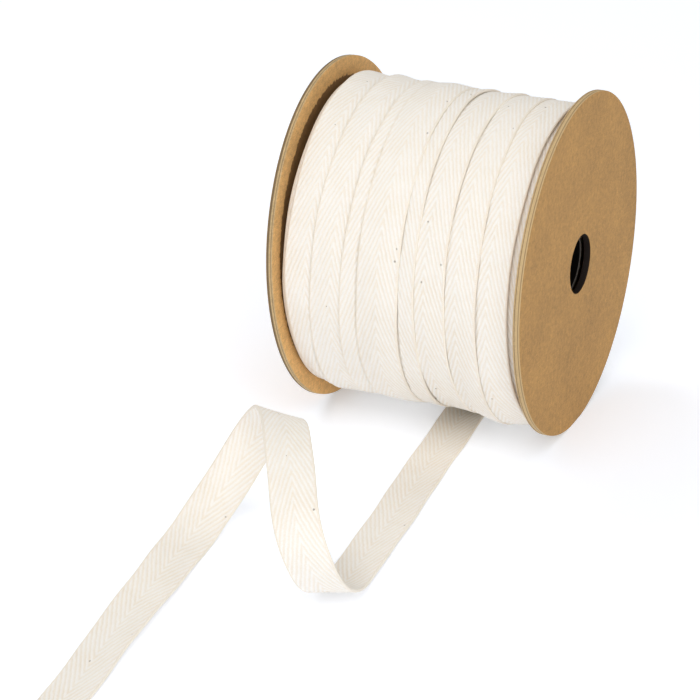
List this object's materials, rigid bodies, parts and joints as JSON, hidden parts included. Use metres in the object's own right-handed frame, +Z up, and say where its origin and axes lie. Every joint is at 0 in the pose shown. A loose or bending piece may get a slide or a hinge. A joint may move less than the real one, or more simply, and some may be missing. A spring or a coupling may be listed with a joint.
{
  "type": "roll of cotton ribbon on a board spool",
  "caption": "Roll of cream cotton herringbone ribbon wound between two kraft board flanges, with its loose end laid out in a standing loop.",
  "frame": {"origin": "middle of the upright flange's flat foot, on the surface that the spool stands on", "axes": "+X along the spindle axis out of the upright flange, +Z up, the loose end runs out towards -Y"},
  "size_m": [0.0628, 0.2289, 0.0794],
  "materials": {
    "kraft_board": "matte",
    "cotton": "matte"
  },
  "bodies": {
    "root": {"flange_right": "kraft_board", "flange_left": "kraft_board", "ribbon_roll": "cotton", "ribbon_tail": "cotton"}
  },
  "joints": []
}
